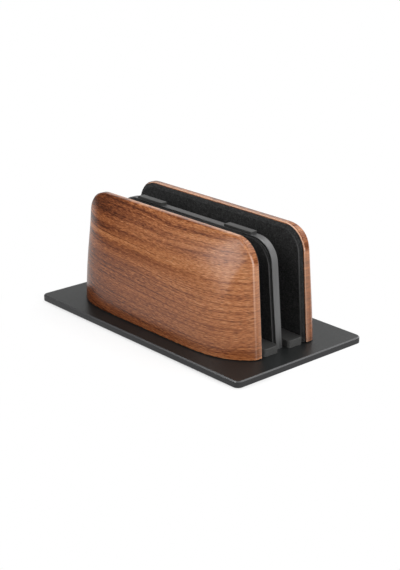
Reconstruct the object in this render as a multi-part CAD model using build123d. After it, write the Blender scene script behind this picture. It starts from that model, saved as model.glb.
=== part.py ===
from build123d import *
import os
from math import cos, radians, tan

# Vertical stand that holds two closed laptops on edge.
# X runs along the slots, the front is at -Y, Z is up and z = 0 is the table.

# Walnut panels
panel_length = 212.0  # along the foot
panel_height = 92.5  # from foot to top
panel_draft = 4.2  # lean of the two ends, degrees
panel_corner = 20.5  # top corners, seen from the front
panel_edge = 6.0  # thickness along the ends and the top
panel_foot_depth = 29.0  # thickness at the middle of the foot
plan_power = 6.2  # how square the bulge is, seen from above
rise_power = 2.7  # how square the bulge is, seen from the end
panel_outer_round = 1.0
panel_inner_round = 1.0

# Slots and linings
slot_width = 16.0  # clear room for one laptop
panel_lining = 3.0  # felt pad on a walnut panel
panel_lining_inset = 1.2  # walnut left bare round the pad
panel_lining_round = 2.4
divider_lining = 2.0  # felt sheet on the divider
divider_lining_inset = 1.5  # divider left bare round the sheet
divider_lining_round = 1.2

# Divider
divider_length = 199.5
divider_height = 86.2
divider_thickness = 6.5
divider_draft = 5.5
divider_corner = 20.0
divider_chamfer = 0.4

# Caps on the divider's top edge
cap_length = 30.5
cap_height = 2.2  # above the divider
cap_setback = 4.0  # from the start of the divider's round corner
cap_round = 0.4
cap_tongue_width = 2.4
cap_tongue_depth = 3.0
cap_tongue_end = 3.0  # the tongue stops this short of the cap's ends
cap_clearance = 0.1

# Rubber bars on the floors of the slots
bar_setback = 1.25  # from the panels' ends
bar_height = 6.2
bar_corner = 3.0
bar_round = 0.5
bar_clearance = 0.15  # to the lining on each side

# Base plate
plate_thickness = 5.5
plate_end_border = 19.0  # plate beyond the panels' ends
plate_side_border = 14.8  # plate beyond the panels' bulge
plate_corner = 5.0
plate_top_chamfer = 0.9
plate_bottom_chamfer = 0.4

# Gaskets between the panels and the plate
gasket_thickness = 0.8
gasket_inset = 1.2

# Feet under the plate
foot_diameter = 14.0
foot_height = 1.0  # below the plate
foot_recess = 0.8  # into the plate
foot_border = 16.0  # from the plate's edges to a foot's centre
foot_chamfer = 0.4
foot_clearance = 0.1

# Countersunk screws, from below
panel_screw_diameter = 4.0
panel_screw_head = 7.6
panel_screw_length = 14.0
panel_screw_socket = 2.5
panel_screw_spacing = 65.0
panel_screw_setback = 13.0  # from a panel's inner face
divider_screw_diameter = 3.0
divider_screw_head = 5.6
divider_screw_length = 14.0
divider_screw_socket = 2.0
divider_screw_spacing = 70.0
screws_per_row = 3
screw_sink = 0.3  # head below the plate's underside
socket_depth = 1.2
screw_clearance = 0.25
thread_clearance = 0.05
tip_room = 1.5  # hole past the screw's tip

# Brass inserts in the walnut
insert_diameter = 6.4
insert_length = 9.0
insert_clearance = 0.05

# Levels and faces worked out from the sizes above
plate_bottom = foot_height
plate_top = plate_bottom + plate_thickness
panel_foot = plate_top + gasket_thickness
divider_face = divider_thickness / 2
slot_inner = divider_face + divider_lining
slot_outer = slot_inner + slot_width
panel_face = slot_outer + panel_lining
panel_reach = panel_face + panel_foot_depth
plate_length = panel_length + 2 * plate_end_border
plate_width = 2 * (panel_reach + plate_side_border)
divider_top = plate_top + divider_height
overrun = 4.0  # how far a rough or cutting body passes what it meets

grounded = (Align.CENTER, Align.CENTER, Align.MIN)
hung = (Align.CENTER, Align.CENTER, Align.MAX)


def upright_outline(length, height, draft, corner, inset=0):
    # Front view of an upright board: flat foot, drafted ends, round top corners.
    lean = radians(draft)
    foot = length / 2 - inset / cos(lean)
    top = height - inset
    shoulder = foot - top * tan(lean)
    outline = make_face(Polyline((-foot, 0), (foot, 0), (shoulder, top), (-shoulder, top), close=True))
    return fillet(outline.vertices().group_by(Axis.Y)[-1], corner - inset)


def upright_board(outline, face, thickness, foot):
    # A board on the level `foot`, from the plane y = -face forwards.
    return Pos(0, -face, foot) * extrude(Plane.XZ * outline, thickness)


def rim(board, side):
    # The edges round one upright face of a board, without its foot.
    return board.faces().sort_by(Axis.Y)[side].edges().sort_by(Axis.Z)[1:]


def crown_curve(height, reach=1, inset=0):
    # Plan of a panel's crowned side at a height above its foot, from the inner face at y = 0.
    # The bulge is full at the middle of the foot and dies out at the ends and the top.
    half = panel_length / 2 - height * tan(radians(panel_draft)) - inset
    bulge = (panel_foot_depth - panel_edge) * (1 - abs(height / panel_height) ** rise_power)
    steps = 8
    shares = [reach * step / steps for step in range(-steps, steps + 1)]
    return Spline(*[(half * u, inset - panel_edge - bulge * (1 - abs(u) ** plan_power)) for u in shares])


def closed_plan(crown, back):
    # The crowned curve, closed by straight ends and a straight back.
    start = crown @ 0
    end = crown @ 1
    return make_face(crown + Polyline(end, (end.X, back), (start.X, back), start))


def panel_screw_places(level):
    return Pos(0, -panel_face - panel_screw_setback, level) * GridLocations(
        panel_screw_spacing, 1, screws_per_row, 1
    )


def divider_screw_places(level):
    return Pos(0, 0, level) * GridLocations(divider_screw_spacing, 1, screws_per_row, 1)


def walnut_panel():
    # The crowned side is a loft through plans, trimmed to the front view by the board's outline.
    levels = 8
    rise = panel_height + 2 * overrun
    heights = [rise * level / levels - overrun for level in range(levels + 1)]
    reach = 1 + 2 * overrun / panel_length
    plans = [Pos(0, 0, height) * closed_plan(crown_curve(height, reach), overrun) for height in heights]
    outline = upright_outline(panel_length, panel_height, panel_draft, panel_corner)
    panel = loft(plans) & extrude(Plane.XZ * outline, panel_foot_depth + overrun)
    crown = panel.faces().filter_by(GeomType.BSPLINE)[0]
    panel = fillet(crown.edges().sort_by(Axis.Z)[1:], panel_outer_round)
    panel = fillet(rim(panel, -1), panel_inner_round)
    panel = Pos(0, -panel_face, panel_foot) * panel
    screw_reach = screw_sink + panel_screw_length - plate_thickness - gasket_thickness
    depth = max(insert_length, screw_reach) + tip_room
    hole = Cylinder(insert_diameter / 2 + insert_clearance, depth, align=grounded)
    return panel - panel_screw_places(panel_foot) * hole


def panel_gasket():
    # A thin dark strip under a panel, set back from its foot.
    plan = closed_plan(crown_curve(0, inset=gasket_inset), -gasket_inset)
    gasket = Pos(0, -panel_face, plate_top) * extrude(plan, gasket_thickness)
    hole = Cylinder(panel_screw_diameter / 2 + screw_clearance, gasket_thickness, align=grounded)
    return gasket - panel_screw_places(plate_top) * hole


def lining(outline, face, thickness, foot, side, radius):
    # A felt sheet against an upright face, with its free rim rounded.
    sheet = upright_board(outline, face, thickness, foot)
    return fillet(rim(sheet, side), radius)


def panel_pad():
    outline = upright_outline(panel_length, panel_height, panel_draft, panel_corner, panel_lining_inset)
    return lining(outline, slot_outer, panel_lining, panel_foot, -1, panel_lining_round)


def divider_sheet():
    outline = upright_outline(
        divider_length, divider_height, divider_draft, divider_corner, divider_lining_inset
    )
    return lining(outline, divider_face, divider_lining, plate_top, 0, divider_lining_round)


def cap_places():
    # The caps end just before the divider's round corners begin.
    shoulder = divider_length / 2 - divider_height * tan(radians(divider_draft))
    corner_start = shoulder - divider_corner * tan(radians(90 - divider_draft) / 2)
    middle = corner_start - cap_setback - cap_length / 2
    return [Pos(-middle, 0, divider_top), Pos(middle, 0, divider_top)]


def cap_tongue(clearance):
    # The tongue under a cap, or with a clearance the groove that it sits in.
    return Box(
        cap_length - 2 * cap_tongue_end + 2 * clearance,
        cap_tongue_width + 2 * clearance,
        cap_tongue_depth + clearance,
        align=hung,
    )


def divider_cap():
    # A strip flush with the divider's faces, keyed into its top edge by a tongue.
    strip = Box(cap_length, divider_thickness, cap_height, align=grounded)
    strip = fillet(strip.faces().sort_by(Axis.Z)[-1].edges(), cap_round)
    return strip + cap_tongue(0)


def divider_plate():
    outline = upright_outline(divider_length, divider_height, divider_draft, divider_corner)
    board = upright_board(outline, -divider_face, divider_thickness, plate_top)
    board = chamfer(rim(board, 0) + rim(board, -1), divider_chamfer)
    for place in cap_places():
        board -= place * cap_tongue(cap_clearance)
    depth = screw_sink + divider_screw_length - plate_thickness + tip_room
    hole = Cylinder(divider_screw_diameter / 2 + thread_clearance, depth, align=grounded)
    return board - divider_screw_places(plate_top) * hole


def floor_bar():
    length = panel_length - 2 * bar_setback
    width = slot_width - 2 * bar_clearance
    bar = extrude(RectangleRounded(length, width, bar_corner), bar_height)
    bar = fillet(bar.faces().sort_by(Axis.Z)[-1].edges(), bar_round)
    return Pos(0, -(slot_inner + slot_outer) / 2, plate_top) * bar


def screw_cone(diameter, head):
    return Cone(head / 2, diameter / 2, (head - diameter) / 2, align=grounded)


def countersunk_screw(diameter, head, length, socket):
    # A flat-head screw that points up, its head's face at z = 0.
    body = screw_cone(diameter, head) + Cylinder(diameter / 2, length, align=grounded)
    return body - extrude(RegularPolygon(socket / 2, 6, major_radius=False), socket_depth)


def screw_hole(diameter, head):
    # The hole from the plate's underside at z = 0, countersunk to the screw's own cone.
    well = Cylinder(head / 2, screw_sink, align=grounded)
    shank = Cylinder(diameter / 2 + screw_clearance, plate_thickness, align=grounded)
    return well + Pos(0, 0, screw_sink) * screw_cone(diameter, head) + shank


def foot_places(level):
    # Front left, front right, rear left and rear right.
    x = plate_length / 2 - foot_border
    y = plate_width / 2 - foot_border
    return [Pos(-x, -y, level), Pos(x, -y, level), Pos(-x, y, level), Pos(x, y, level)]


def rubber_foot():
    foot = Cylinder(foot_diameter / 2, foot_height + foot_recess, align=grounded)
    return chamfer(foot.faces().sort_by(Axis.Z)[0].edges(), foot_chamfer)


def base_plate():
    plate = extrude(RectangleRounded(plate_length, plate_width, plate_corner), plate_thickness)
    plate = chamfer(plate.faces().sort_by(Axis.Z)[-1].edges(), plate_top_chamfer)
    plate = chamfer(plate.faces().sort_by(Axis.Z)[0].edges(), plate_bottom_chamfer)
    plate = Pos(0, 0, plate_bottom) * plate
    panel_holes = panel_screw_places(plate_bottom) * screw_hole(panel_screw_diameter, panel_screw_head)
    plate -= panel_holes
    plate -= [mirror(hole, about=Plane.XZ) for hole in panel_holes]
    plate -= divider_screw_places(plate_bottom) * screw_hole(divider_screw_diameter, divider_screw_head)
    recess = Cylinder(foot_diameter / 2 + foot_clearance, foot_recess, align=grounded)
    for place in foot_places(plate_bottom):
        plate -= place * recess
    return plate


def threaded_insert():
    bore = Cylinder(panel_screw_diameter / 2 + thread_clearance, insert_length, align=grounded)
    return Cylinder(insert_diameter / 2, insert_length, align=grounded) - bore


def front_pieces():
    # What stands in front of the middle plane. The rear half is its mirror image.
    screw = countersunk_screw(
        panel_screw_diameter, panel_screw_head, panel_screw_length, panel_screw_socket
    )
    return {
        "panel": walnut_panel(),
        "panel_lining": panel_pad(),
        "panel_gasket": panel_gasket(),
        "panel_screws": Compound(panel_screw_places(plate_bottom + screw_sink) * screw),
        "panel_inserts": Compound(panel_screw_places(panel_foot) * threaded_insert()),
        "divider_lining": divider_sheet(),
        "floor_bar": floor_bar(),
    }


nodes = {"base_plate": base_plate(), "divider_plate": divider_plate()}
for name, piece in front_pieces().items():
    nodes["front_" + name] = piece
    nodes["rear_" + name] = mirror(piece, about=Plane.XZ)
for name, place in zip(("left_cap", "right_cap"), cap_places()):
    nodes[name] = place * divider_cap()
for name, place in zip(("front_left", "front_right", "rear_left", "rear_right"), foot_places(0)):
    nodes[name + "_foot"] = place * rubber_foot()
divider_screw = countersunk_screw(
    divider_screw_diameter, divider_screw_head, divider_screw_length, divider_screw_socket
)
nodes["divider_screws"] = Compound(divider_screw_places(plate_bottom + screw_sink) * divider_screw)

os.makedirs("parts", exist_ok=True)
for name, piece in nodes.items():
    export_step(piece, f"parts/{name}.step")
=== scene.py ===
from math import cos, pi, radians, sin

import bmesh
import bpy
from mathutils import Matrix, Quaternion, Vector


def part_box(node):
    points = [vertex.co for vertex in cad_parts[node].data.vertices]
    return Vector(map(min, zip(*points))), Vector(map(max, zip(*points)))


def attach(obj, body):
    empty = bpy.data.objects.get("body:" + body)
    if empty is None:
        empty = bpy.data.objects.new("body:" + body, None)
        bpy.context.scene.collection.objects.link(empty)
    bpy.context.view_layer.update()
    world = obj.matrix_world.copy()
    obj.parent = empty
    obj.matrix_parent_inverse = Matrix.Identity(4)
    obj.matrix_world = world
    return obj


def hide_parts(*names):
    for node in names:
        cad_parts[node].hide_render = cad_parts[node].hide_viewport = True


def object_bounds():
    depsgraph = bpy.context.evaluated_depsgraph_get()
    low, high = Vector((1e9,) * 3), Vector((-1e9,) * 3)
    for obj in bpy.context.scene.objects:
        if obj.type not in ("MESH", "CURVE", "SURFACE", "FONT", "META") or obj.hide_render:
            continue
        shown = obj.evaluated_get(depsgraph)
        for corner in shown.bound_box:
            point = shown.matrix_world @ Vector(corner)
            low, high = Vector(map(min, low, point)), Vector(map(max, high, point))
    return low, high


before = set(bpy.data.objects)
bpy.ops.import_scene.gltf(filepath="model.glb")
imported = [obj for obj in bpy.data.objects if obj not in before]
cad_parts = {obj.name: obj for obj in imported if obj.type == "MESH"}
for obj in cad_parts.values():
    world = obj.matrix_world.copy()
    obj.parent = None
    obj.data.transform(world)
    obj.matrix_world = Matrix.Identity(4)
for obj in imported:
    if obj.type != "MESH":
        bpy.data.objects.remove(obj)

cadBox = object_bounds()
scene = bpy.context.scene
mm = 0.001  # sizes of the pieces and their patterns are in millimetres
weldGap = 0.001 * mm  # points this close are merged
noiseSpan = (0.3, 0.7)  # most values of a noise lie between these
mixShare, mixFrom, mixTo = 0, 6, 7  # sockets of a Mix node that mixes colours
print("frame loaded:", len(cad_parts), "nodes")


# Small helpers

def linear(code):
    # sRGB hex to the linear colour that the shaders take
    shares = [int(code[i:i + 2], 16) / 255 for i in (1, 3, 5)]
    return [s / 12.92 if s <= 0.04045 else ((s + 0.055) / 1.055) ** 2.4 for s in shares] + [1.0]


def feed(tree, node, inputs):
    # inputs are plain values, sockets, or nodes whose first live output is meant
    for key, value in inputs.items():
        if isinstance(value, bpy.types.Node):
            value = next(s for s in value.outputs if s.enabled)
        if isinstance(value, bpy.types.NodeSocket):
            tree.links.new(value, node.inputs[key])
        else:
            node.inputs[key].default_value = value


def addNode(tree, kind, inputs=None, stops=(), **settings):
    # inputs go in order in a list, or by name; stops are the (place, hex) marks of a colour ramp
    node = tree.nodes.new(kind)
    for key, value in settings.items():
        setattr(node, key, value)
    feed(tree, node, dict(enumerate(inputs)) if isinstance(inputs, list) else inputs or {})
    for spare in stops[2:]:
        node.color_ramp.elements.new(spare[0])
    for index, (place, code) in enumerate(stops):
        node.color_ramp.elements[index].position = place
        node.color_ramp.elements[index].color = linear(code)
    return node


def newMaterial(name, constants):
    # a Principled surface with its constant sockets set, and the object's own coordinates
    material = bpy.data.materials.new(name)
    material.use_nodes = True
    tree = material.node_tree
    tree.nodes.clear()
    surface = addNode(tree, "ShaderNodeBsdfPrincipled", constants)
    addNode(tree, "ShaderNodeOutputMaterial", {"Surface": surface})
    place = addNode(tree, "ShaderNodeTexCoord").outputs["Object"]
    return material, tree, surface, place


def perCell(lengths):
    # Mapping scale for a noise cell of these lengths in mm
    return [1 / (length * mm) for length in lengths]


def endFacing(tree, span):
    # 1 on faces turned to the left or right end, 0 on those that aren't
    turned = addNode(tree, "ShaderNodeNewGeometry").outputs["Normal"]
    turned = addNode(tree, "ShaderNodeSeparateXYZ", [turned]).outputs["X"]
    turned = addNode(tree, "ShaderNodeMath", [turned], operation="ABSOLUTE")
    return addNode(tree, "ShaderNodeMapRange", [turned, *span, 0.0, 1.0])


def addPiece(name, mesh):
    piece = bpy.data.objects.new(name, mesh)
    scene.collection.objects.link(piece)
    return piece


def grow(name, tree, values):
    # runs a node tree on an empty mesh and keeps the result as a plain mesh
    piece = addPiece(name, bpy.data.meshes.new(name))
    modifier = piece.modifiers.new("shape", "NODES")
    modifier.node_group = tree
    for socket in tree.interface.items_tree:
        if socket.in_out == "INPUT":
            modifier[socket.identifier] = values[socket.name]
    mesh = bpy.data.meshes.new_from_object(piece.evaluated_get(bpy.context.evaluated_depsgraph_get()))
    piece.modifiers.remove(modifier)
    piece.data = mesh
    mesh.name = name
    return piece


# Materials

walnutLook = dict(
    surface={"Coat Roughness": 0.27, "IOR": 1.5, "Specular IOR Level": 0.0},
    rough=(0.36, 0.50), bump={"Strength": 0.12, "Distance": 0.1 * mm},
    endSpan=(0.85, 0.97), coat=(0.8, 0.2), endTone=-0.10,  # end grain soaks up the oil: duller and darker
    level=(45, 85),  # heights between which the grain changes from its low to its high form
    dip=(65, -10), dipSpan=100, dipRise=4.5,  # it sags to this x, and is this much higher at the span from it
    kinkAlong=(-25, 15), kinkDrop=2.5,  # and high up it steps down once
    waveCell=(120, 240, 38), waveReach=3.0,  # how often and how far it wanders up and down
    ringGap=4.5, ringCell=(160, 120, 14), ringSpread=2.8, ringSharp=4.0, ringWeight=-0.14,
    figure=(0.35, 1.25),  # strength of the bands and rings, low and high
    figureEnds=(-100, 100), figureAlong=(1.05, 0.65),  # and its change from left to right
    # painted light: the tone is raised to the right and upwards, where more light falls
    paintedLightSlope=(1.95, 2.8, 2.4), paintedLightFrom=28,  # per metre, it pales to the right, away from this y, and upwards
    middle=0.045,
    # start shifts the noise, and span is the part of it that shows, so streaks are thin dark lines;
    # the fibres, and the pores below, are coarser than real ones, to show
    layers=dict(
        band=dict(cell=(200, 120, 8), start=(150, 0, 8), span=noiseSpan, weight=0.56),
        streak=dict(cell=(170, 60, 1.3), start=(0, 0, 0), span=(0.34, 0.50), weight=0.25),
        fibre=dict(cell=(4, 4, 0.36), start=(0, 0, 0), span=noiseSpan, weight=0.54),
    ),
    stops=[(0.02, "#3a1b0c"), (0.28, "#66361d"), (0.50, "#884f2c"), (0.72, "#a36940"), (0.96, "#bd855b")],
    poreCell=(4, 4, 0.4), poreRange=(0.54, 0.68), poreColour="#2c150a", poreDepth=0.45,
    # painted highlight along the arrises, where the light catches them
    rimHighlightColour="#d8ae94", rimHighlightShare=0.65,
)


def makeWalnut():
    # American black walnut, planed, sanded and oiled: long brown bands and rings with dark streaks,
    # short pores along the grain, a satin sheen, painted light that is paler to the right and upwards,
    # and a painted highlight along the arrises
    look = walnutLook
    math = "ShaderNodeMath"
    material, tree, surface, place = newMaterial("oiledWalnut", look["surface"])
    spot = addNode(tree, "ShaderNodeSeparateXYZ", [place]).outputs

    # height across the grain, which sags, steps and wanders
    low, high = [z * mm for z in look["level"]]
    rise = addNode(tree, "ShaderNodeMapRange", [spot["Z"], low, high, 0.0, 1.0],
                   interpolation_type="SMOOTHSTEP")
    lowDip, highDip = [x * mm for x in look["dip"]]
    dip = addNode(tree, "ShaderNodeMapRange", [rise, 0.0, 1.0, lowDip, highDip])
    away = addNode(tree, math, [spot["X"], dip], operation="SUBTRACT")
    away = addNode(tree, math, [away, look["dipSpan"] * mm], operation="DIVIDE")
    sag = addNode(tree, math, [away, away], operation="MULTIPLY")
    height = addNode(tree, math, [sag, -look["dipRise"] * mm, spot["Z"]], operation="MULTIPLY_ADD")
    left, right = [x * mm for x in look["kinkAlong"]]
    kink = addNode(tree, "ShaderNodeMapRange", [spot["X"], left, right, 0.0, look["kinkDrop"] * mm],
                   interpolation_type="SMOOTHSTEP")
    height = addNode(tree, math, [kink, rise, height], operation="MULTIPLY_ADD")
    cell = addNode(tree, "ShaderNodeMapping", {"Vector": place, "Scale": perCell(look["waveCell"])})
    wave = addNode(tree, "ShaderNodeTexNoise", {"Vector": cell, "Scale": 1.0, "Detail": 2.0})
    wave = addNode(tree, math, [wave, 0.5], operation="SUBTRACT")
    height = addNode(tree, math, [wave, 2 * look["waveReach"] * mm, height], operation="MULTIPLY_ADD")
    grain = addNode(tree, "ShaderNodeCombineXYZ", [spot["X"], spot["Y"], height])

    # growth rings: each darkens slowly and ends sharply
    cell = addNode(tree, "ShaderNodeMapping", {"Vector": grain, "Scale": perCell(look["ringCell"])})
    ring = addNode(tree, "ShaderNodeTexNoise", {"Vector": cell, "Scale": 1.0, "Detail": 1.0})
    ring = addNode(tree, math, [ring, look["ringSpread"]], operation="MULTIPLY")
    ring = addNode(tree, math, [height, 1 / (look["ringGap"] * mm), ring], operation="MULTIPLY_ADD")
    ring = addNode(tree, math, [ring], operation="FRACT")
    ring = addNode(tree, math, [ring, look["ringSharp"]], operation="POWER")

    # bands, streaks and fibres, each spread evenly about zero
    spread = {}
    for name, layer in look["layers"].items():
        shift = [-start / length for start, length in zip(layer["start"], layer["cell"])]
        cell = addNode(tree, "ShaderNodeMapping", {
            "Vector": grain, "Location": shift, "Scale": perCell(layer["cell"])})
        noise = addNode(tree, "ShaderNodeTexNoise", {"Vector": cell, "Scale": 1.0, "Detail": 2.0})
        half = layer["weight"] / 2
        spread[name] = addNode(tree, "ShaderNodeMapRange", [noise, *layer["span"], -half, half])
    figure = addNode(tree, math, [ring, look["ringWeight"], spread["band"]], operation="MULTIPLY_ADD")
    strength = addNode(tree, "ShaderNodeMapRange", [rise, 0.0, 1.0, *look["figure"]])
    left, right = [x * mm for x in look["figureEnds"]]
    along = addNode(tree, "ShaderNodeMapRange", [spot["X"], left, right, *look["figureAlong"]])
    strength = addNode(tree, math, [strength, along], operation="MULTIPLY")

    # painted light: paler to the right and upwards, where more light falls; it is also paler away from one y,
    # and its end grain is darker
    aside = addNode(tree, math, [spot["Y"], look["paintedLightFrom"] * mm], operation="SUBTRACT")
    aside = addNode(tree, math, [aside], operation="ABSOLUTE")
    aside = addNode(tree, "ShaderNodeCombineXYZ", [spot["X"], aside, spot["Z"]])
    paintedLightTone = addNode(tree, "ShaderNodeVectorMath", [aside, look["paintedLightSlope"]], operation="DOT_PRODUCT")
    tone = addNode(tree, math, [figure, strength, paintedLightTone.outputs["Value"]], operation="MULTIPLY_ADD")
    for part in (spread["streak"], spread["fibre"], look["middle"]):
        tone = addNode(tree, math, [tone, part], operation="ADD")
    endGrain = endFacing(tree, look["endSpan"])
    tone = addNode(tree, math, [endGrain, look["endTone"], tone], operation="MULTIPLY_ADD")
    coat = addNode(tree, "ShaderNodeMapRange", [endGrain, 0.0, 1.0, *look["coat"]])
    colour = addNode(tree, "ShaderNodeValToRGB", [tone], look["stops"])

    cell = addNode(tree, "ShaderNodeMapping", {"Vector": grain, "Scale": perCell(look["poreCell"])})
    pores = addNode(tree, "ShaderNodeTexNoise", {"Vector": cell, "Scale": 1.0, "Detail": 1.0})
    pores = addNode(tree, "ShaderNodeMapRange", [pores, *look["poreRange"], 0.0, look["poreDepth"]])
    colour = addNode(tree, "ShaderNodeMix", {
        mixShare: pores, mixFrom: colour, mixTo: linear(look["poreColour"])}, data_type="RGBA")
    # painted highlight along the arrises, from the line that the board tree stores
    rim = addNode(tree, "ShaderNodeAttribute", attribute_name="rimHighlightLine").outputs["Fac"]
    rim = addNode(tree, math, [rim, look["rimHighlightShare"]], operation="MULTIPLY")
    colour = addNode(tree, "ShaderNodeMix", {
        mixShare: rim, mixFrom: colour, mixTo: linear(look["rimHighlightColour"])}, data_type="RGBA")
    half = look["layers"]["fibre"]["weight"] / 2
    rough = addNode(tree, "ShaderNodeMapRange", [spread["fibre"], -half, half, *look["rough"]])
    lift = addNode(tree, math, [spread["fibre"], pores], operation="SUBTRACT")
    bump = addNode(tree, "ShaderNodeBump", {"Height": lift, **look["bump"]})
    feed(tree, surface, {"Base Color": colour, "Coat Weight": coat, "Roughness": rough, "Normal": bump})
    return material


feltLook = dict(
    surface={"Sheen Weight": 0.04, "Sheen Roughness": 0.5, "Specular IOR Level": 0.05},
    rough=(0.90, 1.0), bump={"Strength": 0.5, "Distance": 0.3 * mm},
    tuftCell=(2.6, 2.6, 2.6), fibreCell=(0.9, 0.9, 0.9), fibreShare=0.8,  # coarser than real fibres, to show
    stops=[(0.36, "#151515"), (0.50, "#262626"), (0.64, "#3b3b3b")],
    # painted highlight along the pressed rim
    rimHighlightColour="#757575", rimHighlightShare=0.6,
    # painted shade: the faces turned to the ends are painted darker
    endSpan=(0.85, 0.97), endShadeColour="#0a0a0a", endShadeShare=0.7,
)


def makeFelt():
    # black wool felt, needled and pressed: matt, mottled by its fibres, a soft sheen at a low angle,
    # a painted highlight line where the pressed rim turns, and painted shade on the faces turned to its ends
    look = feltLook
    math = "ShaderNodeMath"
    material, tree, surface, place = newMaterial("pressedWoolFelt", look["surface"])
    cell = addNode(tree, "ShaderNodeMapping", {"Vector": place, "Scale": perCell(look["tuftCell"])})
    tuft = addNode(tree, "ShaderNodeTexNoise", {"Vector": cell, "Scale": 1.0, "Detail": 2.0})
    cell = addNode(tree, "ShaderNodeMapping", {"Vector": place, "Scale": perCell(look["fibreCell"])})
    fibre = addNode(tree, "ShaderNodeTexNoise", {
        "Vector": cell, "Scale": 1.0, "Detail": 3.0, "Distortion": 1.5})
    tone = addNode(tree, math, [tuft, 1 - look["fibreShare"]], operation="MULTIPLY")
    tone = addNode(tree, math, [fibre, look["fibreShare"], tone], operation="MULTIPLY_ADD")
    colour = addNode(tree, "ShaderNodeValToRGB", [tone], look["stops"])
    # painted highlight along the rim
    rim = addNode(tree, "ShaderNodeAttribute", attribute_name="rimHighlightLine").outputs["Fac"]
    rim = addNode(tree, math, [rim, look["rimHighlightShare"]], operation="MULTIPLY")
    colour = addNode(tree, "ShaderNodeMix", {
        mixShare: rim, mixFrom: colour, mixTo: linear(look["rimHighlightColour"])}, data_type="RGBA")
    # painted shade on the faces turned to the ends
    endShade = addNode(tree, math, [endFacing(tree, look["endSpan"]), look["endShadeShare"]], operation="MULTIPLY")
    colour = addNode(tree, "ShaderNodeMix", {
        mixShare: endShade, mixFrom: colour, mixTo: linear(look["endShadeColour"])}, data_type="RGBA")
    rough = addNode(tree, "ShaderNodeMapRange", [fibre, *noiseSpan, *look["rough"]])
    bump = addNode(tree, "ShaderNodeBump", {"Height": fibre, **look["bump"]})
    feed(tree, surface, {"Base Color": colour, "Roughness": rough, "Normal": bump})
    return material


plateLook = dict(
    surface={"Specular IOR Level": 0.36}, metal=(0.25, 0.7),  # of the blasted faces and of the milled edge
    rough=(0.36, 0.46), bump={"Strength": 0.15, "Distance": 0.1 * mm},
    gritCell=(0.7, 0.7, 0.7), gritShare=0.4,  # coarser than real grit, to show
    cloudCell=(60, 60, 60), stops=[(0.45, "#1a1c1c"), (0.95, "#232525")],
    # the edge faces up by less than this share, and the stops tell its side from its chamfer, whose paler
    # stop is a painted highlight
    edgeUpward=0.9, edgeAndHighlightStops=[(0.55, "#343435"), (0.65, "#565657")],
)


def makePlateFinish():
    # aluminium plate, bead-blasted and anodised dark: a fine even grit, and an edge milled afterwards,
    # paler than the blasted faces, whose chamfer is painted paler still as a highlight where it turns up
    look = plateLook
    math = "ShaderNodeMath"
    material, tree, surface, place = newMaterial("darkAnodisedAluminium", look["surface"])
    cell = addNode(tree, "ShaderNodeMapping", {"Vector": place, "Scale": perCell(look["gritCell"])})
    grit = addNode(tree, "ShaderNodeTexNoise", {"Vector": cell, "Scale": 1.0, "Detail": 2.0})
    cell = addNode(tree, "ShaderNodeMapping", {"Vector": place, "Scale": perCell(look["cloudCell"])})
    cloud = addNode(tree, "ShaderNodeTexNoise", {"Vector": cell, "Scale": 1.0})
    tone = addNode(tree, math, [grit, look["gritShare"], cloud], operation="MULTIPLY_ADD")
    colour = addNode(tree, "ShaderNodeValToRGB", [tone], look["stops"])
    upward = addNode(tree, "ShaderNodeNewGeometry").outputs["True Normal"]
    upward = addNode(tree, "ShaderNodeSeparateXYZ", [upward]).outputs["Z"]
    upward = addNode(tree, math, [upward], operation="ABSOLUTE")
    edge = addNode(tree, math, [upward, look["edgeUpward"]], operation="LESS_THAN")
    # painted highlight: the more the edge turns up, the paler it is painted
    edgeAndHighlightColour = addNode(tree, "ShaderNodeValToRGB", [upward], look["edgeAndHighlightStops"])
    colour = addNode(tree, "ShaderNodeMix", {
        mixShare: edge, mixFrom: colour, mixTo: edgeAndHighlightColour}, data_type="RGBA")
    metal = addNode(tree, "ShaderNodeMapRange", [edge, 0.0, 1.0, *look["metal"]])
    rough = addNode(tree, "ShaderNodeMapRange", [grit, *noiseSpan, *look["rough"]])
    bump = addNode(tree, "ShaderNodeBump", {"Height": grit, **look["bump"]})
    feed(tree, surface, {"Base Color": colour, "Metallic": metal, "Roughness": rough, "Normal": bump})
    return material


dividerLook = dict(
    surface={"Metallic": 1.0}, rough=(0.36, 0.52), bump={"Strength": 0.1, "Distance": 0.05 * mm},
    brushCell=(40, 0.35, 40),  # lines coarser than real brushing, to show
    stops=[(0.3, "#5c5c5c"), (0.5, "#676767"), (0.7, "#727272")],
)


def makeDividerFinish():
    # aluminium plate, its edge brushed along its length and anodised grey: fine parallel lines
    look = dividerLook
    material, tree, surface, place = newMaterial("brushedGreyAluminium", look["surface"])
    cell = addNode(tree, "ShaderNodeMapping", {"Vector": place, "Scale": perCell(look["brushCell"])})
    brush = addNode(tree, "ShaderNodeTexNoise", {"Vector": cell, "Scale": 1.0, "Detail": 3.0})
    colour = addNode(tree, "ShaderNodeValToRGB", [brush], look["stops"])
    rough = addNode(tree, "ShaderNodeMapRange", [brush, *noiseSpan, *look["rough"]])
    bump = addNode(tree, "ShaderNodeBump", {"Height": brush, **look["bump"]})
    feed(tree, surface, {"Base Color": colour, "Roughness": rough, "Normal": bump})
    return material


rubberLook = dict(
    surface={"Specular IOR Level": 0.4, "IOR": 1.45}, bump={"Strength": 0.15, "Distance": 0.1 * mm},
    bloomCell=(0.9, 0.9, 0.9), bloomSpan=(0.35, 0.65), roughSpread=0.06,  # coarser than real bloom, to show
    bar=dict(name="barSiliconeRubber", colours=("#333332", "#3f3f3e"), rough=0.55),
    cap=dict(name="capSiliconeRubber", colours=("#2c2c2b", "#373736"), rough=0.42),
    gasket=dict(name="gasketFoamRubber", colours=("#101010", "#181818"), rough=0.9),
    foot=dict(name="footRubber", colours=("#161616", "#202020"), rough=0.8),
)


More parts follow.
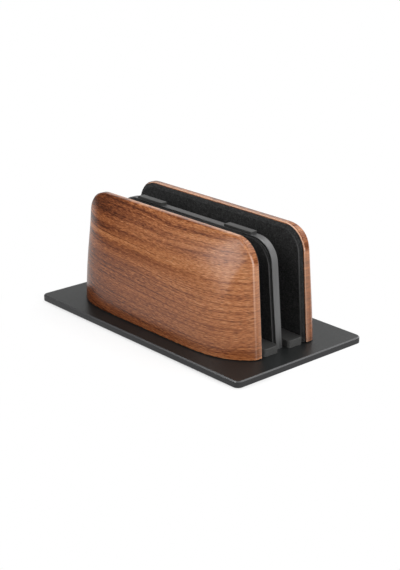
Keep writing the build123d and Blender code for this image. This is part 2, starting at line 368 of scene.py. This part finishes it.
def makeRubber(kind):
    # moulded rubber, silicone for the bars and caps: matt, with the fine bloom and dust that it picks up
    look, own = rubberLook, rubberLook[kind]
    material, tree, surface, place = newMaterial(own["name"], look["surface"])
    cell = addNode(tree, "ShaderNodeMapping", {"Vector": place, "Scale": perCell(look["bloomCell"])})
    bloom = addNode(tree, "ShaderNodeTexNoise", {"Vector": cell, "Scale": 1.0, "Detail": 3.0})
    colour = addNode(tree, "ShaderNodeValToRGB", [bloom], list(zip(look["bloomSpan"], own["colours"])))
    smooth, dull = own["rough"] - look["roughSpread"], own["rough"] + look["roughSpread"]
    rough = addNode(tree, "ShaderNodeMapRange", [bloom, *noiseSpan, smooth, dull])
    bump = addNode(tree, "ShaderNodeBump", {"Height": bloom, **look["bump"]})
    feed(tree, surface, {"Base Color": colour, "Roughness": rough, "Normal": bump})
    return material


turnedLook = dict(
    surface={"Metallic": 1.0}, rough=(0.24, 0.36), bump={"Strength": 0.1, "Distance": 0.05 * mm},
    turningCell=(3, 3, 0.3), turningSpan=(0.35, 0.65),  # rings coarser than a tool's, to show
    steel=dict(name="zincPlatedSteel", colours=("#a9abad", "#c6c8c9")),
    brass=dict(name="turnedBrass", colours=("#b4904c", "#cfae66")),
)


def makeTurnedMetal(kind):
    # a small turned part, of zinc-plated steel or of brass: bright, with faint rings left by the tool
    look, own = turnedLook, turnedLook[kind]
    material, tree, surface, place = newMaterial(own["name"], look["surface"])
    cell = addNode(tree, "ShaderNodeMapping", {"Vector": place, "Scale": perCell(look["turningCell"])})
    turning = addNode(tree, "ShaderNodeTexNoise", {"Vector": cell, "Scale": 1.0, "Detail": 2.0})
    colour = addNode(tree, "ShaderNodeValToRGB", [turning], list(zip(look["turningSpan"], own["colours"])))
    rough = addNode(tree, "ShaderNodeMapRange", [turning, *noiseSpan, *look["rough"]])
    bump = addNode(tree, "ShaderNodeBump", {"Height": turning, **look["bump"]})
    feed(tree, surface, {"Base Color": colour, "Roughness": rough, "Normal": bump})
    return material


walnut = makeWalnut()
felt = makeFelt()
plateFinish = makePlateFinish()
dividerFinish = makeDividerFinish()
barRubber = makeRubber("bar")
capRubber = makeRubber("cap")
gasketRubber = makeRubber("gasket")
footRubber = makeRubber("foot")
screwSteel = makeTurnedMetal("steel")
insertBrass = makeTurnedMetal("brass")
print("materials made")


# Upright boards: walnut panels and felt linings share one rule

boardCrease = 50  # edges sharper than these degrees stay sharp


def makeBoardTree():
    # A grid laid over a front view with leaning ends and round top corners, given two depths:
    # the flat back, and a crowned front that is full at the foot and dies out at the ends and the top.
    tree = bpy.data.node_groups.new("uprightBoard", "GeometryNodeTree")
    tree.interface.new_socket(name="Geometry", in_out="OUTPUT", socket_type="NodeSocketGeometry")
    for name in ("Length", "Height", "Lean", "Corner", "Edge Depth", "Foot Depth", "Plan Power", "Rise Power",
                 "Front Rim", "Front Rim Power", "Back Rim", "Line Place", "Line Width", "Line Top",
                 "Line Foot", "Nap", "Nap Size", "Face", "Foot Level", "Side"):
        tree.interface.new_socket(name=name, in_out="INPUT", socket_type="NodeSocketFloat")
    for name in ("Columns", "End Rows", "Corner Rows"):
        tree.interface.new_socket(name=name, in_out="INPUT", socket_type="NodeSocketInt")
    tree.interface.new_socket(name="Material", in_out="INPUT", socket_type="NodeSocketMaterial")
    size = addNode(tree, "NodeGroupInput").outputs
    math = "ShaderNodeMath"

    rows = addNode(tree, math, [size["End Rows"], size["Corner Rows"]], operation="ADD")
    grid = addNode(tree, "GeometryNodeMeshGrid", {
        "Size X": 2.0, "Size Y": 2.0, "Vertices X": size["Columns"],
        "Vertices Y": addNode(tree, math, [rows, 1.0], operation="ADD"),
    })
    spot = addNode(tree, "ShaderNodeSeparateXYZ", [addNode(tree, "GeometryNodeInputPosition")])
    half = addNode(tree, math, [size["Length"], 0.5], operation="MULTIPLY")
    slope = addNode(tree, math, [size["Lean"]], operation="TANGENT")
    leanSin = addNode(tree, math, [size["Lean"]], operation="SINE")
    leanCos = addNode(tree, math, [size["Lean"]], operation="COSINE")

    # rows: straight along the leaning end, then by equal angles round the corner
    share = addNode(tree, math, [spot.outputs["Y"], 0.5, 0.5], operation="MULTIPLY_ADD")
    endShare = addNode(tree, math, [size["End Rows"], rows], operation="DIVIDE")
    along = addNode(tree, math, [share, endShare], operation="DIVIDE")
    along = addNode(tree, math, [along, 1.0], operation="MINIMUM")
    bend = addNode(tree, "ShaderNodeMapRange", [share, endShare, 1.0, size["Lean"], pi / 2])
    cornerFoot = addNode(tree, math, [leanSin, 1.0], operation="SUBTRACT")
    cornerFoot = addNode(tree, math, [size["Corner"], cornerFoot, size["Height"]], operation="MULTIPLY_ADD")
    endHeight = addNode(tree, math, [along, cornerFoot], operation="MULTIPLY")
    rise = addNode(tree, math, [bend], operation="SINE")
    rise = addNode(tree, math, [rise, leanSin], operation="SUBTRACT")
    z = addNode(tree, math, [size["Corner"], rise, endHeight], operation="MULTIPLY_ADD")
    drawIn = addNode(tree, math, [bend], operation="COSINE")
    drawIn = addNode(tree, math, [drawIn, leanCos], operation="SUBTRACT")
    endLean = addNode(tree, math, [endHeight, slope], operation="MULTIPLY")
    reach = addNode(tree, math, [half, endLean], operation="SUBTRACT")
    reach = addNode(tree, math, [size["Corner"], drawIn, reach], operation="MULTIPLY_ADD")

    # columns: closer together towards the ends
    across = addNode(tree, math, [spot.outputs["X"], pi / 2], operation="MULTIPLY")
    across = addNode(tree, math, [across], operation="SINE")
    x = addNode(tree, math, [across, reach], operation="MULTIPLY")

    # distance to the rim, round the corners too
    fullHalf = addNode(tree, math, [z, slope], operation="MULTIPLY")
    fullHalf = addNode(tree, math, [half, fullHalf], operation="SUBTRACT")
    awayX = addNode(tree, math, [x], operation="ABSOLUTE")
    toEnd = addNode(tree, math, [fullHalf, awayX], operation="SUBTRACT")
    toEnd = addNode(tree, math, [toEnd, leanCos], operation="MULTIPLY")
    toTop = addNode(tree, math, [size["Height"], z], operation="SUBTRACT")
    fromEnd = addNode(tree, math, [size["Corner"], toEnd], operation="SUBTRACT")
    fromEnd = addNode(tree, math, [fromEnd, 0.0], operation="MAXIMUM")
    fromTop = addNode(tree, math, [size["Corner"], toTop], operation="SUBTRACT")
    fromTop = addNode(tree, math, [fromTop, 0.0], operation="MAXIMUM")
    fromRim = addNode(tree, "ShaderNodeCombineXYZ", [fromEnd, fromTop])
    fromRim = addNode(tree, "ShaderNodeVectorMath", [fromRim], operation="LENGTH").outputs["Value"]
    toRim = addNode(tree, math, [size["Corner"], fromRim], operation="SUBTRACT")

    # rounded rims: a quarter of a superellipse, round at power 2 and a plain bevel at power 1
    drops = {}
    for name, power in (("Front Rim", size["Front Rim Power"]), ("Back Rim", 2.0)):
        root = addNode(tree, math, [1.0, power], operation="DIVIDE")
        left = addNode(tree, math, [toRim, size[name]], operation="DIVIDE")
        left = addNode(tree, math, [1.0, left], operation="SUBTRACT", use_clamp=True)
        left = addNode(tree, math, [left, power], operation="POWER")
        left = addNode(tree, math, [1.0, left], operation="SUBTRACT", use_clamp=True)
        left = addNode(tree, math, [left, root], operation="POWER")
        left = addNode(tree, math, [1.0, left], operation="SUBTRACT")
        drops[name] = addNode(tree, math, [left, size[name]], operation="MULTIPLY")

    # the crown, and on felt a slight nap
    plan = addNode(tree, math, [awayX, fullHalf], operation="DIVIDE")
    plan = addNode(tree, math, [plan, size["Plan Power"]], operation="POWER")
    plan = addNode(tree, math, [1.0, plan], operation="SUBTRACT")
    climb = addNode(tree, math, [z, size["Height"]], operation="DIVIDE")
    climb = addNode(tree, math, [climb, size["Rise Power"]], operation="POWER")
    climb = addNode(tree, math, [1.0, climb], operation="SUBTRACT")
    bulge = addNode(tree, math, [size["Foot Depth"], size["Edge Depth"]], operation="SUBTRACT")
    bulge = addNode(tree, math, [bulge, plan], operation="MULTIPLY")
    front = addNode(tree, math, [bulge, climb, size["Edge Depth"]], operation="MULTIPLY_ADD")
    front = addNode(tree, math, [front, drops["Front Rim"]], operation="SUBTRACT")
    napSpot = addNode(tree, "ShaderNodeCombineXYZ", [x, z, size["Face"]])
    napScale = addNode(tree, math, [1.0, size["Nap Size"]], operation="DIVIDE")
    napSpot = addNode(tree, "ShaderNodeVectorMath", {0: napSpot, "Scale": napScale}, operation="SCALE")
    nap = addNode(tree, "ShaderNodeTexNoise", {"Vector": napSpot, "Scale": 1.0, "Detail": 2.0})
    nap = addNode(tree, math, [nap, 0.5], operation="SUBTRACT")
    front = addNode(tree, math, [nap, size["Nap"], front], operation="MULTIPLY_ADD")

    # a painted highlight line along each rim for the materials to colour: the front one is full at the foot
    # of the round corners and weaker above and below, the back one changes only along the top
    line = addNode(tree, math, [toRim, size["Line Place"]], operation="SUBTRACT")
    line = addNode(tree, math, [line], operation="ABSOLUTE")
    line = addNode(tree, "ShaderNodeMapRange", [line, 0.0, size["Line Width"], 1.0, 0.0])
    above = addNode(tree, "ShaderNodeMapRange", [toTop, 0.0, size["Corner"], size["Line Top"], 1.0])
    backHighlightLine = addNode(tree, math, [line, above], operation="MULTIPLY")
    above = addNode(tree, "ShaderNodeMapRange", [toTop, 0.0, size["Corner"], 0.0, 1.0])
    below = addNode(tree, "ShaderNodeMapRange", [
        toTop, size["Corner"], size["Height"], above, size["Line Foot"]])
    frontHighlightLine = addNode(tree, math, [line, below], operation="MULTIPLY")

    # the back sheet, and a raised copy of it for the front
    sheet = grid.outputs["Mesh"]
    for name, value in (("frontDepth", front), ("frontHighlightLine", frontHighlightLine), ("rimHighlightLine", backHighlightLine)):
        sheet = addNode(tree, "GeometryNodeStoreNamedAttribute", {
            "Geometry": sheet, "Name": name, "Value": value}, data_type="FLOAT", domain="POINT")
    back = addNode(tree, math, [drops["Back Rim"], size["Side"], size["Face"]], operation="MULTIPLY_ADD")
    level = addNode(tree, math, [z, size["Foot Level"]], operation="ADD")
    sheet = addNode(tree, "GeometryNodeSetPosition", {
        "Geometry": sheet, "Position": addNode(tree, "ShaderNodeCombineXYZ", [x, back, level])})
    raised = addNode(tree, "GeometryNodeExtrudeMesh", {
        "Mesh": sheet, "Offset Scale": 0.0, "Individual": False})
    here = addNode(tree, "ShaderNodeSeparateXYZ", [addNode(tree, "GeometryNodeInputPosition")])
    depth = addNode(tree, "GeometryNodeInputNamedAttribute", {"Name": "frontDepth"}, data_type="FLOAT")
    depth = addNode(tree, math, [depth.outputs["Attribute"], size["Side"], size["Face"]],
                    operation="MULTIPLY_ADD")
    raisedTo = addNode(tree, "ShaderNodeCombineXYZ", [here.outputs["X"], depth, here.outputs["Z"]])
    top = raised.outputs["Top"]
    line = addNode(tree, "GeometryNodeInputNamedAttribute", {"Name": "frontHighlightLine"}, data_type="FLOAT")
    raised = addNode(tree, "GeometryNodeStoreNamedAttribute", {
        "Geometry": raised.outputs["Mesh"], "Selection": top, "Name": "rimHighlightLine",
        "Value": line.outputs["Attribute"]}, data_type="FLOAT", domain="POINT")
    raised = addNode(tree, "GeometryNodeSetPosition", {
        "Geometry": raised, "Selection": top, "Position": raisedTo})

    # joined, welded and turned outwards
    closed = addNode(tree, "GeometryNodeJoinGeometry", [raised])
    feed(tree, closed, {0: addNode(tree, "GeometryNodeFlipFaces", [sheet])})
    closed = addNode(tree, "GeometryNodeMergeByDistance", {"Geometry": closed, "Distance": weldGap})
    outward = addNode(tree, math, [size["Side"], 0.0], operation="GREATER_THAN")
    closed = addNode(tree, "GeometryNodeFlipFaces", {"Mesh": closed, "Selection": outward})
    closed = addNode(tree, "GeometryNodeSetShadeSmooth", {"Geometry": closed})
    angle = addNode(tree, "GeometryNodeInputMeshEdgeAngle").outputs["Unsigned Angle"]
    sharp = addNode(tree, math, [angle, radians(boardCrease)], operation="GREATER_THAN")
    closed = addNode(tree, "GeometryNodeSetShadeSmooth", {
        "Geometry": closed, "Selection": sharp, "Shade Smooth": False}, domain="EDGE")
    closed = addNode(tree, "GeometryNodeRealizeInstances", [closed])
    closed = addNode(tree, "GeometryNodeSetMaterial", {"Geometry": closed, "Material": size["Material"]})
    addNode(tree, "NodeGroupOutput", [closed])
    return tree


boardTree = makeBoardTree()

walnutPanel = dict(
    lean=4.2, corner=20.5, edge=6.0, planPower=6.2, risePower=2.7,
    outerRound=1.4, outerPower=2.0, innerRound=1.0, nap=0.0, napSize=10.0,
    # the line values place and shape the painted highlight along the rims
    linePlace=0.3, lineWidth=0.5, lineTop=1.5, lineFoot=0.25, columns=150, endRows=44, cornerRows=26,
)
for side, sign in (("front", -1), ("rear", 1)):
    low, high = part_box(side + "_panel")
    shape = walnutPanel
    panel = grow(side + "WalnutPanel", boardTree, {
        "Length": high.x - low.x, "Height": high.z - low.z, "Lean": radians(shape["lean"]),
        "Corner": shape["corner"] * mm, "Edge Depth": shape["edge"] * mm, "Foot Depth": high.y - low.y,
        "Plan Power": shape["planPower"], "Rise Power": shape["risePower"],
        "Front Rim": shape["outerRound"] * mm, "Front Rim Power": shape["outerPower"],
        "Back Rim": shape["innerRound"] * mm,
        "Line Place": shape["linePlace"] * mm, "Line Width": shape["lineWidth"] * mm,
        "Line Top": shape["lineTop"], "Line Foot": shape["lineFoot"],
        "Nap": shape["nap"] * mm, "Nap Size": shape["napSize"] * mm,
        "Face": high.y if sign < 0 else low.y, "Foot Level": low.z, "Side": float(sign),
        "Columns": shape["columns"], "End Rows": shape["endRows"], "Corner Rows": shape["cornerRows"],
        "Material": walnut,
    })
    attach(panel, "root")
    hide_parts(side + "_panel")
print("walnut panels made")

feltLining = dict(
    panel=dict(node="panel_lining", lean=4.2, corner=19.3, rim=2.4, inward=1),
    divider=dict(node="divider_lining", lean=5.5, corner=18.5, rim=0.5, inward=-1),
    both=dict(
        planPower=2.0, risePower=2.0, rimPower=1.25, backRound=0.05, nap=0.12, napSize=9.0,
        # the line values place and shape the painted highlight along the rims
        lineWidth=0.6, lineTop=0.0, lineFoot=0.7, columns=140, endRows=50, cornerRows=30,
    ),
)
for side, sign in (("front", -1), ("rear", 1)):
    for place in ("panel", "divider"):
        shape = {**feltLining["both"], **feltLining[place]}
        low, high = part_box(f"{side}_{shape['node']}")
        outwards = -sign * shape["inward"]  # the way the felt faces
        lining = grow(f"{side}{place.capitalize()}Felt", boardTree, {
            "Length": high.x - low.x, "Height": high.z - low.z, "Lean": radians(shape["lean"]),
            "Corner": shape["corner"] * mm, "Edge Depth": high.y - low.y, "Foot Depth": high.y - low.y,
            "Plan Power": shape["planPower"], "Rise Power": shape["risePower"],
            "Front Rim": shape["rim"] * mm, "Front Rim Power": shape["rimPower"],
            "Back Rim": shape["backRound"] * mm,
            "Line Place": shape["rim"] * mm, "Line Width": shape["lineWidth"] * mm,
            "Line Top": shape["lineTop"], "Line Foot": shape["lineFoot"],
            "Nap": shape["nap"] * mm, "Nap Size": shape["napSize"] * mm,
            "Face": low.y if outwards > 0 else high.y, "Foot Level": low.z, "Side": float(outwards),
            "Columns": shape["columns"], "End Rows": shape["endRows"], "Corner Rows": shape["cornerRows"],
            "Material": felt,
        })
        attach(lining, "root")
        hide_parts(f"{side}_{shape['node']}")
print("felt linings made")


# Metal and rubber pieces keep their forms, with smooth rounds

solidCrease = 30  # edges sharper than these degrees stay sharp


def smoothCopy(node, name, material):
    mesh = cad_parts[node].data.copy()
    mesh.name = name
    if "custom_normal" in mesh.attributes:
        mesh.attributes.remove(mesh.attributes["custom_normal"])
    work = bmesh.new()
    work.from_mesh(mesh)
    bmesh.ops.remove_doubles(work, verts=work.verts, dist=weldGap)
    work.to_mesh(mesh)
    work.free()
    mesh.shade_smooth()
    mesh.set_sharp_from_angle(angle=radians(solidCrease))
    mesh.materials.clear()
    mesh.materials.append(material)
    piece = addPiece(name, mesh)
    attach(piece, "root")
    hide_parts(node)


smoothCopy("base_plate", "basePlate", plateFinish)
smoothCopy("divider_plate", "dividerPlate", dividerFinish)
smoothCopy("divider_screws", "dividerScrews", screwSteel)
for hand in ("left", "right"):
    smoothCopy(hand + "_cap", hand + "Cap", capRubber)
for side in ("front", "rear"):
    smoothCopy(side + "_floor_bar", side + "FloorBar", barRubber)
    smoothCopy(side + "_panel_gasket", side + "PanelGasket", gasketRubber)
    smoothCopy(side + "_panel_screws", side + "PanelScrews", screwSteel)
    smoothCopy(side + "_panel_inserts", side + "PanelInserts", insertBrass)
    for hand in ("left", "right"):
        smoothCopy(f"{side}_{hand}_foot", f"{side}{hand.capitalize()}Foot", footRubber)
print("metal and rubber pieces made")


# Studio: white floor, soft light, camera

studio = dict(  # in metres, but for the reach of the shade
    floorSize=14.0, floorBounce=0.35,
    floorShade=0.38, floorLevel=1.15, shadeReach=60,  # lit along the plate's front, glowing white further off
    skyLight=0.15, roomGlow=0.04,
    backdropSide=(0.0, 1.0, -0.8), backdropEdge=(-0.1, 0.25),  # a dark room with a low white backdrop behind
    lamps=dict(
        keyPanel=dict(
            place=(-0.29, -1.03, 0.38), aim=(0.02, -0.03, 0.06), roll=-22, size=(0.95, 0.30), power=5.0),
        fillPanel=dict(
            place=(-0.25, -0.75, 0.85), aim=(0, 0, 0.05), roll=0, size=(0.5, 0.5), power=6.2),
        endPanel=dict(
            place=(0.95, -0.10, 0.30), aim=(0.08, 0, 0.05), roll=0, size=(0.5, 0.5), power=7.0),
        topPanel=dict(
            place=(0.20, 0.45, 1.1), aim=(0, 0, 0.05), roll=0, size=(1.2, 1.2), power=9.0),
        backPanel=dict(
            place=(0.15, 1.15, 0.33), aim=(0, 0, 0.05), roll=0, size=(1.4, 0.6), power=6.0),
    ),
)


def seenRays(tree):
    # 1 where the camera, a reflection or a clear material looks, 0 for the light that falls on things
    math = "ShaderNodeMath"
    path = addNode(tree, "ShaderNodeLightPath").outputs
    seen = addNode(tree, math, [path["Is Camera Ray"], path["Is Glossy Ray"]], operation="MAXIMUM")
    return addNode(tree, math, [seen, path["Is Transmission Ray"]], operation="MAXIMUM")


def makeFloor():
    # white paper: it glows white where it is seen, and keeps the object's shadow along the plate's front
    vector = "ShaderNodeVectorMath"
    work = bmesh.new()
    bmesh.ops.create_grid(work, x_segments=1, y_segments=1, size=studio["floorSize"] / 2)
    mesh = bpy.data.meshes.new("studioFloor")
    work.to_mesh(mesh)
    work.free()
    material = bpy.data.materials.new("whitePaperSweep")
    material.use_nodes = True
    tree = material.node_tree
    tree.nodes.clear()
    lit = addNode(tree, "ShaderNodeBsdfDiffuse", {"Color": [studio["floorBounce"]] * 3 + [1]})

    # how far a spot lies from the plate's front edge, or out past its ends
    reach = studio["shadeReach"] * mm
    place = addNode(tree, "ShaderNodeTexCoord").outputs["Object"]
    away = addNode(tree, vector, [place, (0, cadBox[0][1], 0)], operation="SUBTRACT")
    away = addNode(tree, vector, [away], operation="ABSOLUTE")
    away = addNode(tree, vector, [away, (cadBox[1][0] - reach / 2, 0, 0)], operation="SUBTRACT")
    away = addNode(tree, "ShaderNodeSeparateXYZ", [away]).outputs
    away = addNode(tree, "ShaderNodeMath", [away["X"], away["Y"]], operation="MAXIMUM")
    shade = addNode(tree, "ShaderNodeMapRange", [away, 0.0, reach, studio["floorShade"], 0.0],
                    interpolation_type="SMOOTHSTEP")
    shaded = addNode(tree, "ShaderNodeBsdfDiffuse", {"Color": shade})
    glow = addNode(tree, "ShaderNodeMath", [shade, -studio["floorLevel"], 1.0], operation="MULTIPLY_ADD")
    glow = addNode(tree, "ShaderNodeEmission", {"Strength": glow})
    bright = addNode(tree, "ShaderNodeAddShader", [shaded, glow])
    surface = addNode(tree, "ShaderNodeMixShader", [seenRays(tree), lit, bright])
    addNode(tree, "ShaderNodeOutputMaterial", {"Surface": surface})
    mesh.materials.append(material)
    addPiece("studioFloor", mesh)


def makeSky():
    world = bpy.data.worlds.new("studioSky")
    world.use_nodes = True
    tree = world.node_tree
    tree.nodes.clear()
    way = addNode(tree, "ShaderNodeTexCoord").outputs["Object"]
    towards = addNode(tree, "ShaderNodeVectorMath", [way, studio["backdropSide"]], operation="DOT_PRODUCT")
    towards = towards.outputs["Value"]
    glow = addNode(tree, "ShaderNodeMapRange", [towards, *studio["backdropEdge"], studio["roomGlow"], 1.0])
    straight = addNode(tree, "ShaderNodeLightPath").outputs["Is Camera Ray"]
    glow = addNode(tree, "ShaderNodeMath", [glow, straight], operation="MAXIMUM")
    strength = addNode(tree, "ShaderNodeMapRange", [seenRays(tree), 0.0, 1.0, studio["skyLight"], glow])
    sky = addNode(tree, "ShaderNodeBackground", {"Color": [1, 1, 1, 1], "Strength": strength})
    addNode(tree, "ShaderNodeOutputWorld", {"Surface": sky})
    scene.world = world


def makeLamps():
    for name, lamp in studio["lamps"].items():
        data = bpy.data.lights.new(name, "AREA")
        data.shape = "RECTANGLE"
        data.size, data.size_y = lamp["size"]
        data.energy = lamp["power"]
        holder = bpy.data.objects.new(name, data)
        scene.collection.objects.link(holder)
        holder.visible_camera = False
        holder.location = lamp["place"]
        turn = (Vector(lamp["aim"]) - holder.location).to_track_quat("-Z", "Y")
        holder.rotation_euler = (turn @ Quaternion((0, 0, 1), radians(lamp["roll"]))).to_euler()


cameraView = dict(  # in degrees and millimetres
    azimuth=48.52, elevation=19.81, distance=1020.9, right=4.4, up=29.35, lift=1.0, lens=77.04, sensor=36,
)


def makeCamera():
    # seen from the front right, a little above, on a long lens
    view = cameraView
    turn, tilt = radians(view["azimuth"]), radians(view["elevation"])
    back = Vector((sin(turn) * cos(tilt), -cos(turn) * cos(tilt), sin(tilt)))
    right = Vector((cos(turn), sin(turn), 0))
    up = back.cross(right)
    data = bpy.data.cameras.new("studioCamera")
    data.lens = view["lens"]
    data.sensor_width = view["sensor"]
    camera = bpy.data.objects.new("studioCamera", data)
    scene.collection.objects.link(camera)
    eye = (view["distance"] * back + view["right"] * right + view["up"] * up) * mm
    eye += Vector((0, 0, view["lift"] * mm))
    camera.matrix_world = Matrix.Translation(eye) @ Matrix((right, up, back)).transposed().to_4x4()
    scene.camera = camera


makeFloor()
makeSky()
makeLamps()
makeCamera()
scene.view_settings.view_transform = "Standard"
print("studio made")
